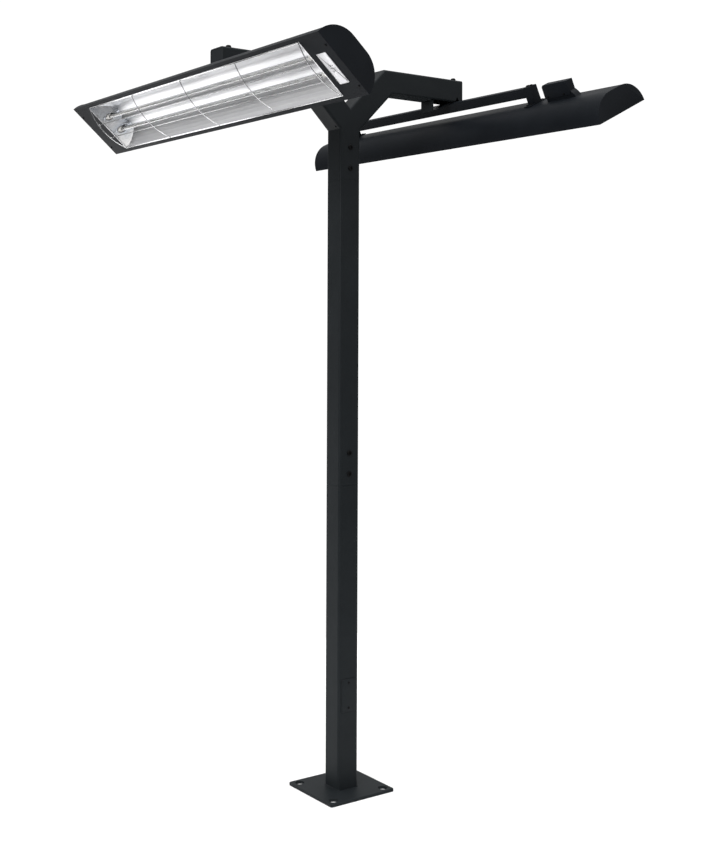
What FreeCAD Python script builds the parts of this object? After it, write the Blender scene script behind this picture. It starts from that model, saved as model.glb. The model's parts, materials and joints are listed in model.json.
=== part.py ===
# Twin electric infrared patio heater on a Y-headed steel post.
# Millimetres. +Z is up, +X runs along the right arm, +Y along the heaters.
# The origin is the centre of the base plate's underside.
import FreeCAD
import Part
import math
import os

os.makedirs("parts", exist_ok=True)

# ---- post and base ----
tube = 80.0                 # outside width of the square post tube
tube_wall = 4.0
tube_corner = 8.0           # outside corner radius of the post tube
base_size = 254.0
base_thick = 10.0
base_corner = 6.0
base_edge = 1.0             # rounding of the plate's top rim
anchor_pitch = 200.0        # square pattern of anchor holes
anchor_hole = 32.0
conduit_hole = 51.0         # under the post, for the supply conduit
lower_seam = 1021.0         # height of the joint between the two post tubes
upper_seam = 2041.0         # height of the joint between post and head
seam_chamfer = 0.8
spigot_below = 100.0        # how far a spigot reaches down into the lower tube
spigot_above = 150.0        # and up into the tube above it
spigot_gap = 0.3
spigot_wall = 6.0
spigot_corner = 4.5
bolt_rise = (38.0, 108.0)   # bolt heights above a seam
bolt_head = 18.0
bolt_head_high = 4.0
bolt_shank = 10.0
bolt_clear = 0.2            # radial clearance of a bolt in its hole

# ---- hand hole near the foot of the post ----
cover_mid = 322.0
cover_wide = 57.0
cover_high = 108.0
cover_thick = 1.8
cover_corner = 4.0
gasket_thick = 1.0
hand_hole_wide = 40.0
hand_hole_high = 62.0
cover_screw_pitch = 84.0
small_head = 7.0            # head diameter of the small pan screws
small_head_high = 2.0
small_shank = 4.0

# ---- Y head ----
arm_top = 2425.0
arm_depth = 80.0
arm_reach = 488.0           # from the post's axis to the arm's end
arm_apex = 144.0            # where the sloping strut turns level, on top
arm_wall = 4.0
arm_edge = 8.0              # rounding of the long edges of the head
drain_hole = 8.0            # in each strut's lower wall, close to the post
drain_side = 22.0           # its distance in front of the post's axis
end_plate_low = 2352.0
cable_size = 8.0
cable_bend = 60.0
cable_side = 20.0           # the cables run this far behind the post's axis
cable_apart = 12.0
block_half = 26.0           # the post's terminal block: half width and half height
block_deep = 20.0
block_well = 9.5            # pitch of its screw wells
block_well_size = 6.0
block_well_deep = 7.0
end_plate_gap = 0.5         # the end plates sit this far inside the arm's end

# ---- hanger, pivot and yoke ----
pivot_out = 442.0           # pivot distance from the post's axis
pivot_high = 2364.0
pivot_drop = 158.5          # from the pivot down to the heater's face
pin_size = 12.0
pin_fit = 0.05              # radial running clearance on the pin
hanger_thick = 4.0
hanger_half = 32.0
hanger_wall_x = 358.0
hanger_wall_low = 2306.0
eye_radius = 13.0
hanger_cheek = 32.0         # how far the cheeks reach back from the pivot at the top
hanger_bolt_high = 8.0
hanger_bolt_x = 459.0
hanger_bolt_y = 23.0
saddle_half = 27.6
saddle_tail = 75.0
rail_half = 12.0
rail_low = 104.0
rail_high = 137.0
rail_wall = 3.0
rail_lip = 5.0
rail_round = 2.5
rail_ends = (-441.0, 606.0)
leg_wide = 34.0
leg_thick = 3.0
leg_foot = 38.0
leg_bend = 2.8              # outside bend radius of a leg's top edges
foot_step = 9.0             # foot screws to either side of a leg's middle
foot_head = 9.0
foot_head_high = 3.0
yoke_step = 7.3             # yoke bolts likewise
yoke_head = 13.0
yoke_head_high = 3.5
yoke_shank = 8.0
nut_size = 13.0
nut_high = 6.5
left_tilt = 41.4
right_tilt = 26.1
sweep_tilt = 46.0           # the rail's slot in the arm allows this much tilt

# ---- heater, in its own frame: X across, Y along, Z from the face to the back ----
heater_length = 1556.0
heater_half = 111.0
heater_deep = 79.0
back_radius = 87.5
sheet = 2.0
panel_gap = 0.2             # round the face panels and the cap flanges
opening_half = 97.5
opening_length = 1344.0
panel_fold = 9.0            # depth of the fold at each panel's inner edge
fold_half = 88.0
cap_flange = 24.0           # reach of the end caps' flanges behind the face panels
panel_screw_in = 14.0       # panel screws, from the heater's end
panel_screws = (-78.0, 66.0)
trim_screw_long = 5.0
badge_long = 105.0
badge_wide = 42.0
badge_mid = (-5.5, 720.5)
badge_thick = 1.0
badge_corner = 1.5
tube_apart = 60.0           # between the two quartz tubes
tube_level = 24.0
quartz_size = 14.0
quartz_wall = 1.2
quartz_half = 640.0
coil_size = 9.0
cap_size = 18.0
cap_inner = 630.0
cap_outer = 667.0
lead_size = 3.0
lead_way = 5.0              # bore through a ceramic cap
lead_start = -650.0         # the leads' ends inside the ceramic caps
lead_turn = -700.0          # where they leave the tubes' line for the terminal block
lead_rise = 12.0            # their last straight run
lead_apart = 28.0           # the leads at the terminal block
bracket_half = 48.0         # element brackets: half width, lower and upper edge of the plate
bracket_low = 12.0
bracket_high = 58.0
bracket_thick = 2.0
bracket_fold = 18.0
link_thick = 1.5            # the strap that joins the two elements
inner_block_y = -715.0      # terminal block inside the heater
inner_block_half = 22.0
inner_block_long = 30.0
inner_block_low = 52.0
box_block_half = 9.0        # terminal block inside the wiring box
box_block_high = 15.0
box_block_span = (-50.0, -12.0)     # its ends, from the nipple
reflector_sheet = 1.2
slope_run = 72.0            # the sloping end reflectors: run along Y and rise
slope_rise = 49.0
reflector_bends = [(9, 43), (20, 48.5), (32, 50), (44, 48.5), (58, 42), (72, 32), (86, 18), (96.8, 2.05)]
reflector_rim = 103.0
reflector_ridge = 36.0
guard_wire = 3.0
guard_bow = 19.5
guard_pitch = 333.5
guard_run = 30.0
box_half = 15.0
box_low = 88.5
box_high = 135.5
box_ends = (-604.0, -489.0)
tray_ends = (-601.0, -495.0)
ear_reach = 22.0            # the tray's bent ear, beyond the tray's outer end
ear_lean = 8.0
ear_kink = 12.0             # height of the ear's lower bend
box_screw_in = (28.0, 16.0)     # the box screws, from its outer and inner ends
box_wall = 1.6
box_round = 2.5
tray_high = 20.5            # above the heater's back
box_screw_z = 94.5
nipple_y = -545.0
nipple_size = 18.0
nipple_bore = 14.0

vec = FreeCAD.Vector
x_axis = vec(1, 0, 0)
y_axis = vec(0, 1, 0)
z_axis = vec(0, 0, 1)
origin = vec(0, 0, 0)
half_tube = tube / 2
panel_inner = opening_length / 2
end_y = heater_length / 2
arm_low = arm_top - arm_depth
notch_z = arm_top - arm_apex
strut_low = notch_z - arm_depth * math.sqrt(2)


def block(x0, x1, y0, y1, z0, z1):
    return Part.makeBox(x1 - x0, y1 - y0, z1 - z0, vec(x0, y0, z0))


def rod(radius, start, direction, length):
    return Part.makeCylinder(radius, length, vec(*start), direction)


def prism_xz(points, y0, y1):
    ring = [vec(x, y0, z) for x, z in points]
    face = Part.Face(Part.makePolygon(ring + [ring[0]]))
    return face.extrude(vec(0, y1 - y0, 0))


def prism_yz(points, x0, x1):
    ring = [vec(x0, y, z) for y, z in points]
    face = Part.Face(Part.makePolygon(ring + [ring[0]]))
    return face.extrude(vec(x1 - x0, 0, 0))


def square_bar(half, z0, z1, corner):
    bar = block(-half, half, -half, half, z0, z1)
    upright = [e for e in bar.Edges if abs(e.tangentAt(e.FirstParameter).z) > 0.9]
    return bar.makeFillet(corner, upright)


def square_tube(half, wall, z0, z1, corner):
    inner = square_bar(half - wall, z0 - 1, z1 + 1, max(corner - wall, 1.0))
    return square_bar(half, z0, z1, corner).cut(inner)


def dome_bolt(head, head_high, shank, length):
    """Head above the XY plane, shank below it."""
    cap = rod(head / 2, (0, 0, 0), z_axis, head_high)
    rim = [e for e in cap.Edges if e.BoundBox.ZMin > head_high - 0.01]
    cap = cap.makeFillet(head_high * 0.7, rim)
    return cap.fuse(rod(shank / 2, (0, 0, -length), z_axis, length)).removeSplitter()


def aimed(shape, place, direction):
    turned = shape.copy()
    turned.Placement = FreeCAD.Placement(vec(*place), FreeCAD.Rotation(z_axis, direction))
    return turned


def wire_along(points, radius, bend):
    """A round bar along straight runs joined by tangent arcs."""
    pts = [vec(*p) for p in points]
    edges = []
    start = pts[0]
    for before, corner, after in zip(pts, pts[1:], pts[2:]):
        back = (before - corner).normalize()
        ahead = (after - corner).normalize()
        half_turn = (math.pi - back.getAngle(ahead)) / 2
        setback = bend * math.tan(half_turn)
        first = corner + back * setback
        last = corner + ahead * setback
        middle = (back + ahead).normalize()
        reach = bend / math.cos(half_turn) - bend
        edges.append(Part.makeLine(start, first))
        edges.append(Part.Arc(first, corner + middle * reach, last).toShape())
        start = last
    edges.append(Part.makeLine(start, pts[-1]))
    path = Part.Wire(edges)
    ring = Part.Wire([Part.makeCircle(radius, pts[0], (pts[1] - pts[0]).normalize())])
    return path.makePipeShell([ring], True, True)


# ---- post and base

def base_plate():
    half = base_size / 2
    plate = block(-half, half, -half, half, 0, base_thick)
    upright = [e for e in plate.Edges if abs(e.tangentAt(e.FirstParameter).z) > 0.9]
    plate = plate.makeFillet(base_corner, upright)
    top_rim = [e for e in plate.Edges if e.BoundBox.ZMin > base_thick - 0.01]
    plate = plate.makeFillet(base_edge, top_rim)
    for sx in (-1, 1):
        for sy in (-1, 1):
            spot = (sx * anchor_pitch / 2, sy * anchor_pitch / 2, -1)
            plate = plate.cut(rod(anchor_hole / 2, spot, z_axis, base_thick + 2))
    return plate.cut(rod(conduit_hole / 2, (0, 0, -1), z_axis, base_thick + 2))


def bolt_holes(body, seam, radius):
    for rise in bolt_rise:
        body = body.cut(rod(radius, (0, -half_tube - 1, seam + rise), y_axis, tube + 2))
    return body


def bevel_end(body, z):
    rim = [e for e in body.Edges if abs(e.BoundBox.ZMin - z) < 0.01 and abs(e.BoundBox.ZMax - z) < 0.01]
    limit = half_tube - tube_wall + 0.5
    outer = [e for e in rim if max(abs(e.CenterOfMass.x), abs(e.CenterOfMass.y)) > limit]
    return body.makeChamfer(seam_chamfer, outer)


def lower_post():
    body = square_tube(half_tube, tube_wall, base_thick, lower_seam, tube_corner)
    body = bevel_end(body, lower_seam)
    low = cover_mid - hand_hole_high / 2
    hole = block(-hand_hole_wide / 2, hand_hole_wide / 2, -half_tube - 1, 0, low, low + hand_hole_high)
    body = body.cut(hole)
    for side in (-1, 1):
        spot = (0, -half_tube - 1, cover_mid + side * cover_screw_pitch / 2)
        body = body.cut(rod(small_shank / 2 + bolt_clear, spot, y_axis, 10))
    return body


def upper_post():
    body = square_tube(half_tube, tube_wall, lower_seam, upper_seam, tube_corner)
    body = bevel_end(bevel_end(body, lower_seam), upper_seam)
    return bolt_holes(body, lower_seam, bolt_shank / 2 + bolt_clear)


def spigot(seam):
    half = half_tube - tube_wall - spigot_gap
    body = square_tube(half, spigot_wall, seam - spigot_below, seam + spigot_above, spigot_corner)
    return bolt_holes(body, seam, bolt_shank / 2 + bolt_clear)


def post_bolts():
    length = tube_wall + spigot_gap + spigot_wall
    bolt = dome_bolt(bolt_head, bolt_head_high, bolt_shank, length)
    bolts = []
    for seam in (lower_seam, upper_seam):
        for rise in bolt_rise:
            for side in (-1, 1):
                spot = (0, side * half_tube, seam + rise)
                bolts.append(aimed(bolt, spot, y_axis * side))
    return Part.makeCompound(bolts)


def access_plate(y0, thick):
    low = cover_mid - cover_high / 2
    plate = block(-cover_wide / 2, cover_wide / 2, y0, y0 + thick, low, low + cover_high)
    upright = [e for e in plate.Edges if abs(e.tangentAt(e.FirstParameter).y) > 0.9]
    plate = plate.makeFillet(cover_corner, upright)
    for side in (-1, 1):
        spot = (0, y0 - 1, cover_mid + side * cover_screw_pitch / 2)
        plate = plate.cut(rod(small_shank / 2 + bolt_clear, spot, y_axis, thick + 2))
    return plate


def access_gasket():
    plate = access_plate(-half_tube - gasket_thick, gasket_thick)
    low = cover_mid - hand_hole_high / 2
    window = block(-hand_hole_wide / 2, hand_hole_wide / 2, -half_tube - 2, 0, low, low + hand_hole_high)
    return plate.cut(window)


def access_cover():
    return access_plate(-half_tube - gasket_thick - cover_thick, cover_thick)


def access_screws():
    length = gasket_thick + cover_thick + tube_wall + 3
    screw = dome_bolt(small_head, small_head_high, small_shank, length)
    face = -half_tube - gasket_thick - cover_thick
    spots = [(0, face, cover_mid + side * cover_screw_pitch / 2) for side in (-1, 1)]
    return Part.makeCompound([aimed(screw, spot, y_axis * -1) for spot in spots])


def post_terminal_block():
    inner = half_tube - tube_wall
    body = block(-block_half, block_half, inner - block_deep, inner,
                 cover_mid - block_half, cover_mid + block_half)
    for step in range(-2, 3):
        spot = (step * block_well, inner - block_deep - 1, cover_mid)
        body = body.cut(rod(block_well_size / 2, spot, y_axis, block_well_deep + 1))
    return body


# ---- Y head

def head_outline(inset, overrun):
    """Half outline of the Y from the foot of the sleeve to the notch, on +X."""
    slant = inset * math.sqrt(2)
    side = half_tube - inset
    low = arm_low + inset
    top = arm_top - inset
    return [(side, upper_seam - overrun), (side, side + strut_low + slant),
            (low - strut_low - slant, low), (arm_reach + overrun, low),
            (arm_reach + overrun, top), (top - notch_z + slant, top), (0, notch_z - slant)]


def both_sides(half_points):
    mirrored = [(-x, z) for x, z in reversed(half_points[:-1])]
    return half_points + mirrored


def head_shell():
    outer = prism_xz(both_sides(head_outline(0, 0)), -half_tube, half_tube)
    long_edges = []
    for edge in outer.Edges:
        box = edge.BoundBox
        flat = box.YMax - box.YMin < 0.01
        at_end = box.ZMax < upper_seam + 0.01 or abs(box.XMin) > arm_reach - 0.01 and box.XLength < 0.01
        if flat and not at_end:
            long_edges.append(edge)
    outer = outer.makeFillet(arm_edge, long_edges)
    side = half_tube - arm_wall
    shell = outer.cut(prism_xz(both_sides(head_outline(arm_wall, 1)), -side, side))
    return bolt_holes(shell, upper_seam, bolt_shank / 2 + bolt_clear)


def sleeve_region():
    wide = half_tube + 1
    corner_z = half_tube + strut_low
    outline = [(wide, upper_seam - 5), (wide, corner_z), (half_tube, corner_z), (0, notch_z)]
    return prism_xz(both_sides(outline), -half_tube - 1, half_tube + 1)


def arm_region():
    low_x = arm_low - strut_low
    lean = (arm_apex - low_x) / arm_depth
    points = [(low_x - lean * 10, arm_low - 10), (arm_apex + lean * 10, arm_top + 10),
              (arm_reach + 20, arm_top + 10), (arm_reach + 20, arm_low - 10)]
    return prism_xz(points, -half_tube - 1, half_tube + 1)


def rail_sweep():
    """Room in the arm's side walls for the yoke rail as the heater tilts."""
    gap = 2.0
    half = rail_half + gap
    top = pivot_drop - rail_high - gap
    level = block(pivot_out - half, pivot_out + half, -half_tube - 1, half_tube + 1,
                  arm_low - 1, pivot_high - top)
    tilted = block(-half, half, -half_tube - 1, half_tube + 1, -60, -top)
    tilted.rotate(origin, y_axis, -sweep_tilt)
    tilted.translate(vec(pivot_out, 0, pivot_high))
    corner = math.hypot(half, top)
    swing = rod(corner, (pivot_out, -half_tube - 1, pivot_high), y_axis, tube + 2)
    keep = rod(top - 0.2, (pivot_out, -half_tube - 2, pivot_high), y_axis, tube + 4)
    quarter = block(pivot_out, pivot_out + 40, -half_tube - 1, half_tube + 1, arm_low - 1, pivot_high)
    return level.fuse([tilted, swing.common(quarter).cut(keep)])


def arm_piece(shell):
    arm = shell.common(arm_region())
    side = half_tube - arm_wall
    bottom = block(hanger_wall_x - 2, arm_reach + 1, -side, side, arm_low - 1, arm_low + arm_wall + 0.1)
    arm = arm.cut(bottom)
    arm = arm.cut(rail_sweep())
    for sign in (-1, 1):
        spot = (hanger_bolt_x, sign * hanger_bolt_y, arm_top - 20)
        arm = arm.cut(rod(bolt_shank / 2 + bolt_clear, spot, z_axis, 30))
    return arm


def drain_drill():
    spot_x = half_tube + drain_hole
    down = vec(1, 0, -1).normalize()
    spot = (spot_x - arm_wall, -drain_side, spot_x + strut_low + arm_wall)
    return rod(drain_hole / 2, spot, down, 3 * arm_wall)


def left_of(shape):
    return shape.mirror(origin, x_axis)


def half_turn(shape):
    turned = shape.copy()
    turned.rotate(origin, z_axis, 180)
    return turned


def end_plate():
    side = half_tube - arm_wall
    plate = block(arm_reach - arm_wall, arm_reach - end_plate_gap, -side, side,
                  end_plate_low, arm_top - arm_wall)
    return plate.cut(rail_sweep())


def hanger():
    """Bent plate bolted under the arm's top wall; its cheeks carry the pivot pin."""
    top = arm_top - arm_wall
    under = top - hanger_thick
    web = block(hanger_wall_x, arm_reach - arm_wall - 2, -hanger_half, hanger_half, under, top)
    wall = block(hanger_wall_x, hanger_wall_x + hanger_thick, -hanger_half, hanger_half,
                 hanger_wall_low, top)
    body = web.fuse(wall)
    cheek_points = [(pivot_out - hanger_cheek, top), (arm_reach - arm_wall - 2, top),
                    (pivot_out + eye_radius, pivot_high), (pivot_out - eye_radius, pivot_high)]
    for y0 in (-hanger_half, hanger_half - hanger_thick):
        cheek = prism_xz(cheek_points, y0, y0 + hanger_thick)
        eye = rod(eye_radius, (pivot_out, y0, pivot_high), y_axis, hanger_thick)
        body = body.fuse([cheek, eye])
    body = body.removeSplitter()
    body = body.cut(rod(pin_size / 2 + pin_fit, (pivot_out, -40, pivot_high), y_axis, 80))
    for sign in (-1, 1):
        spot = (hanger_bolt_x, sign * hanger_bolt_y, under - 1)
        body = body.cut(rod(bolt_shank / 2 + bolt_clear, spot, z_axis, 10))
    return body


def hanger_bolts():
    bolt = dome_bolt(bolt_head, hanger_bolt_high, bolt_shank, arm_wall + hanger_thick)
    spots = [(sx * hanger_bolt_x, sy * hanger_bolt_y, arm_top) for sx in (-1, 1) for sy in (-1, 1)]
    return Part.makeCompound([aimed(bolt, spot, z_axis) for spot in spots])


def pivot_pins():
    length = 2 * (half_tube - arm_wall) - 0.6
    pins = []
    for sign in (-1, 1):
        pins.append(rod(pin_size / 2, (sign * pivot_out, -length / 2, pivot_high), y_axis, length))
    return Part.makeCompound(pins)


def supply_cables():
    strut_mid = (notch_z + strut_low) / 2
    arm_mid = (arm_top + arm_low) / 2
    start_z = cover_mid + block_half
    points = [(cable_apart, cable_side, start_z), (cable_apart, cable_side, strut_mid + cable_apart),
              (arm_mid - strut_mid, cable_side, arm_mid), (hanger_wall_x - 6, cable_side, arm_mid)]
    right = wire_along(points, cable_size / 2, cable_bend)
    return Part.makeCompound([right, left_of(right)])


# ---- heater, own frame

def d_face(inset, floor, y):
    """The D-shaped section: flat top, round shoulders, flat face."""
    radius = back_radius - inset
    mid_x = heater_half - back_radius
    mid_z = heater_deep - back_radius
    edge_x = mid_x + math.sqrt(radius ** 2 - (floor - mid_z) ** 2)
    lean = math.atan2(floor - mid_z, edge_x - mid_x)
    half_way = (lean + math.pi / 2) / 2
    bulge = (mid_x + radius * math.cos(half_way), mid_z + radius * math.sin(half_way))
    top = mid_z + radius
    right = Part.Arc(vec(edge_x, y, floor), vec(bulge[0], y, bulge[1]), vec(mid_x, y, top)).toShape()
    left = Part.Arc(vec(-mid_x, y, top), vec(-bulge[0], y, bulge[1]), vec(-edge_x, y, floor)).toShape()
    flat = Part.makeLine(vec(mid_x, y, top), vec(-mid_x, y, top))
    mouth = Part.makeLine(vec(-edge_x, y, floor), vec(edge_x, y, floor))
    return Part.Face(Part.Wire([right, flat, left, mouth]))


def leg_middles():
    return (rail_ends[0] + leg_wide / 2, rail_ends[1] - leg_wide / 2)


def foot_spots():
    across = (rail_half + leg_foot) / 2 + 2
    spots = []
    for middle in leg_middles():
        for sx in (-1, 1):
            for sy in (-1, 1):
                spots.append((sx * across, middle + sy * foot_step, heater_deep + leg_thick))
    return spots


def housing():
    long = heater_length - 2 * sheet
    outer = d_face(0, 0, -long / 2).extrude(vec(0, long, 0))
    inner = d_face(sheet, sheet, -long / 2 - 1).extrude(vec(0, long + 2, 0))
    body = outer.cut(inner)
    body = body.cut(block(-opening_half, opening_half, -long, long, -1, sheet + 1))
    for x, y, z in foot_spots():
        body = body.cut(rod(small_shank / 2 + bolt_clear, (x, y, z - 15), z_axis, 20))
    return body.cut(rod(nipple_size / 2 + bolt_clear, (0, nipple_y, heater_deep - 5), z_axis, 10))


def panel_screw_spots():
    return [(x, sign * (end_y - panel_screw_in), 0) for x in panel_screws for sign in (-1, 1)]


def screw_holes(body):
    for x, y, z in panel_screw_spots():
        body = body.cut(rod(small_shank / 2 + bolt_clear, (x, y, -1), z_axis, 3 * sheet))
    return body


def end_caps():
    """A D-shaped plate with a flange that the face panel is screwed to."""
    caps = []
    for sign in (-1, 1):
        start = end_y - sheet if sign > 0 else -end_y
        plate = d_face(0, 0, start).extrude(vec(0, sheet, 0))
        flange_y = sorted((sign * (end_y - cap_flange), sign * (end_y - sheet)))
        flange = block(-fold_half, fold_half, flange_y[0], flange_y[1], sheet, 2 * sheet)
        caps.append(screw_holes(plate.fuse(flange).removeSplitter()))
    return Part.makeCompound(caps)


def face_panels():
    wide = opening_half - panel_gap
    panels = []
    for sign in (-1, 1):
        span = sorted((sign * panel_inner, sign * (end_y - sheet - panel_gap)))
        plate = block(-wide, wide, span[0], span[1], 0, sheet)
        fold_y = sorted((sign * (panel_inner + sheet), sign * (panel_inner + 2 * sheet)))
        fold = block(-fold_half, fold_half, fold_y[0], fold_y[1], 0, panel_fold)
        panels.append(screw_holes(plate.fuse(fold).removeSplitter()))
    return Part.makeCompound(panels)


def badge():
    mid_x, mid_y = badge_mid
    plate = block(mid_x - badge_long / 2, mid_x + badge_long / 2, mid_y - badge_wide / 2,
                  mid_y + badge_wide / 2, -badge_thick, 0)
    upright = [e for e in plate.Edges if abs(e.tangentAt(e.FirstParameter).z) > 0.9]
    return plate.makeFillet(badge_corner, upright)


def trough_points():
    right = list(reflector_bends)
    left = [(-x, z) for x, z in reversed(right)]
    return left + [(0, reflector_ridge)] + right


def offset_path(points, distance):
    """Each corner moved so that every run shifts sideways by distance."""
    moved = []
    for i, (x, z) in enumerate(points):
        normals = []
        for a, b in ((i - 1, i), (i, i + 1)):
            if a >= 0 and b < len(points):
                dx = points[b][0] - points[a][0]
                dz = points[b][1] - points[a][1]
                size = math.hypot(dx, dz)
                normals.append((-dz / size, dx / size))
        nx = sum(n[0] for n in normals) / len(normals)
        nz = sum(n[1] for n in normals) / len(normals)
        scale = distance / (nx * nx + nz * nz)
        moved.append((x + nx * scale, z + nz * scale))
    return moved


def slope_prism(sign, shift):
    """Everything beyond one sloping end reflector."""
    lean = slope_run / slope_rise
    low_y = panel_inner + shift + 7 * lean
    high_y = panel_inner + shift - 58 * lean
    points = [(low_y, -5), (900, -5), (900, 60), (high_y, 60)]
    return prism_yz([(sign * y, z) for y, z in points], -120, 120)


def reflector():
    rim_z = reflector_bends[-1][1]
    inside = [(-reflector_rim, rim_z)] + trough_points() + [(reflector_rim, rim_z)]
    outside = offset_path(inside, reflector_sheet)
    body = prism_xz(inside + outside[::-1], -panel_inner, panel_inner)
    for sign in (-1, 1):
        body = body.cut(slope_prism(sign, 0))
    return body


def element_x():
    return (-tube_apart / 2, tube_apart / 2)


def end_reflectors():
    trough = prism_xz(trough_points(), -panel_inner - 10, panel_inner + 10)
    plates = []
    for sign in (-1, 1):
        plate = trough.common(slope_prism(sign, 0)).cut(slope_prism(sign, reflector_sheet))
        for x in element_x():
            plate = plate.cut(rod(cap_size / 2 + 0.3, (x, -900, tube_level), y_axis, 1800))
        plates.append(plate)
    return Part.makeCompound(plates)


def quartz_tubes():
    tubes = []
    for x in element_x():
        spot = (x, -quartz_half, tube_level)
        outer = rod(quartz_size / 2, spot, y_axis, 2 * quartz_half)
        tubes.append(outer.cut(rod(quartz_size / 2 - quartz_wall, spot, y_axis, 2 * quartz_half)))
    return Part.makeCompound(tubes)


def heating_coils():
    half = quartz_half - 2
    coils = [rod(coil_size / 2, (x, -half, tube_level), y_axis, 2 * half) for x in element_x()]
    return Part.makeCompound(coils)


def ceramic_caps():
    caps = []
    for x in element_x():
        for sign in (-1, 1):
            aim = y_axis * sign
            cap = rod(cap_size / 2, (x, sign * cap_inner, tube_level), aim, cap_outer - cap_inner)
            socket = rod(quartz_size / 2 + 0.1, (x, sign * (cap_inner - 1), tube_level), aim,
                         quartz_half - cap_inner + 1)
            bore = rod(lead_way / 2, (x, sign * cap_inner, tube_level), aim, cap_outer - cap_inner + 1)
            caps.append(cap.cut(socket).cut(bore))
    return Part.makeCompound(caps)


def element_brackets():
    top = heater_deep - sheet
    flat = heater_half - back_radius - 1
    brackets = []
    for sign in (-1, 1):
        span = sorted((sign * cap_outer, sign * (cap_outer + bracket_thick)))
        plate = block(-bracket_half, bracket_half, span[0], span[1], bracket_low, bracket_high)
        neck = block(-flat, flat, span[0], span[1], bracket_high, top)
        fold_y = sorted((sign * cap_outer, sign * (cap_outer + bracket_fold)))
        fold = block(-flat, flat, fold_y[0], fold_y[1], top - bracket_thick, top)
        body = plate.fuse([neck, fold]).removeSplitter()
        for x in element_x():
            body = body.cut(rod(lead_size, (x, span[0] - 1, tube_level), y_axis, 2 * bracket_thick))
        brackets.append(body)
    return Part.makeCompound(brackets)


def element_wiring():
    """Terminal block, box terminal, the two element leads and the link that joins the elements."""
    top = heater_deep - sheet
    long = inner_block_long / 2
    pieces = [block(-inner_block_half, inner_block_half, inner_block_y - long, inner_block_y + long,
                    inner_block_low, top)]
    box_floor = heater_deep + sheet
    pieces.append(block(-box_block_half, box_block_half, nipple_y + box_block_span[0],
                        nipple_y + box_block_span[1], box_floor, box_floor + box_block_high))
    for sign in (-1, 1):
        tube_x = sign * tube_apart / 2
        block_x = sign * lead_apart / 2
        points = [(tube_x, lead_start, tube_level), (tube_x, lead_turn, tube_level),
                  (block_x, inner_block_y, inner_block_low - lead_rise),
                  (block_x, inner_block_y, inner_block_low)]
        pieces.append(wire_along(points, lead_size / 2, 2 * lead_size))
    link_y = cap_outer + bracket_thick
    link_half = tube_apart / 2 + 5
    pieces.append(block(-link_half, link_half, link_y, link_y + link_thick, tube_level - 4, tube_level + 4))
    return Part.makeCompound(pieces)


def guard_arc(y, radius):
    reach = opening_half - radius - 0.1
    start = vec(-reach, y, 0)
    arc = Part.Arc(start, vec(0, y, -guard_bow), vec(reach, y, 0)).toShape()
    ring = Part.Wire([Part.makeCircle(radius, start, arc.tangentAt(arc.FirstParameter))])
    return Part.Wire([arc]).makePipeShell([ring], True, True)


def wire_guard():
    radius = guard_wire / 2
    reach = opening_half - radius - 0.1
    bow_radius = (reach ** 2 + guard_bow ** 2) / (2 * guard_bow)
    run_z = bow_radius - guard_bow - math.sqrt(bow_radius ** 2 - guard_run ** 2) + guard_wire + 0.05
    arcs = [guard_arc(step * guard_pitch, radius) for step in range(-2, 3)]
    half = 2 * guard_pitch
    runs = [rod(radius, (sign * guard_run, -half, run_z), y_axis, 2 * half) for sign in (-1, 1)]
    return Part.makeCompound(arcs + runs)


def box_base():
    """Tray on the heater's back, with a bent ear at its outer end and the wiring nipple."""
    tray_end, tray_stop = tray_ends
    tray_top = heater_deep + tray_high
    ear_end = tray_end - ear_reach
    half = box_half - box_wall - 0.4
    tray = block(-half, half, tray_end, tray_stop, heater_deep, tray_top)
    hollow = block(-half + sheet, half - sheet, tray_end + sheet, tray_stop - sheet,
                   heater_deep + sheet, tray_top + 1)
    ear_line = [(tray_end, heater_deep), (ear_end, heater_deep),
                (ear_end + ear_lean, heater_deep + ear_kink),
                (box_ends[0] - 2, tray_top + 1), (box_ends[0] - 2, box_low - 1), (tray_end, box_low - 1)]
    ear = prism_yz(ear_line, -half, half)
    body = tray.cut(hollow).fuse(ear).removeSplitter()
    body = body.fuse(rod(nipple_size / 2, (0, nipple_y, heater_deep - 9), z_axis, 12))
    body = body.cut(rod(nipple_bore / 2, (0, nipple_y, heater_deep - 10), z_axis, 14))
    for x, y, z in box_screw_spots():
        body = body.cut(rod(small_shank / 2 + bolt_clear, (x - 1, y, z), x_axis, 6))
    return body


def box_screw_spots():
    outer_in, inner_in = box_screw_in
    return [(-box_half, y, box_screw_z) for y in (box_ends[0] + outer_in, box_ends[1] - inner_in)]


def box_cover():
    outer = block(-box_half, box_half, box_ends[0], box_ends[1], box_low, box_high)
    soft = [e for e in outer.Edges if e.BoundBox.ZMax > box_low + 1]
    outer = outer.makeFillet(box_round, soft)
    inner = block(-box_half + box_wall, box_half - box_wall, box_ends[0] + box_wall,
                  box_ends[1] - box_wall, box_low - 1, box_high - box_wall)
    body = outer.cut(inner)
    for x, y, z in box_screw_spots():
        body = body.cut(rod(small_shank / 2 + bolt_clear, (x - 1, y, z), x_axis, 4))
    return body


def trim_screws():
    screw = dome_bolt(small_head, small_head_high, small_shank, trim_screw_long)
    screws = [aimed(screw, spot, z_axis * -1) for spot in panel_screw_spots()]
    screws += [aimed(screw, spot, x_axis * -1) for spot in box_screw_spots()]
    return Part.makeCompound(screws)


def foot_screws():
    screw = dome_bolt(foot_head, foot_head_high, small_shank, leg_thick + sheet + 3)
    return Part.makeCompound([aimed(screw, spot, z_axis) for spot in foot_spots()])


def rail_bolt_spots():
    top = rail_high + leg_thick
    return [(0, middle + step, top) for middle in leg_middles() for step in (-yoke_step, yoke_step)]


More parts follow.
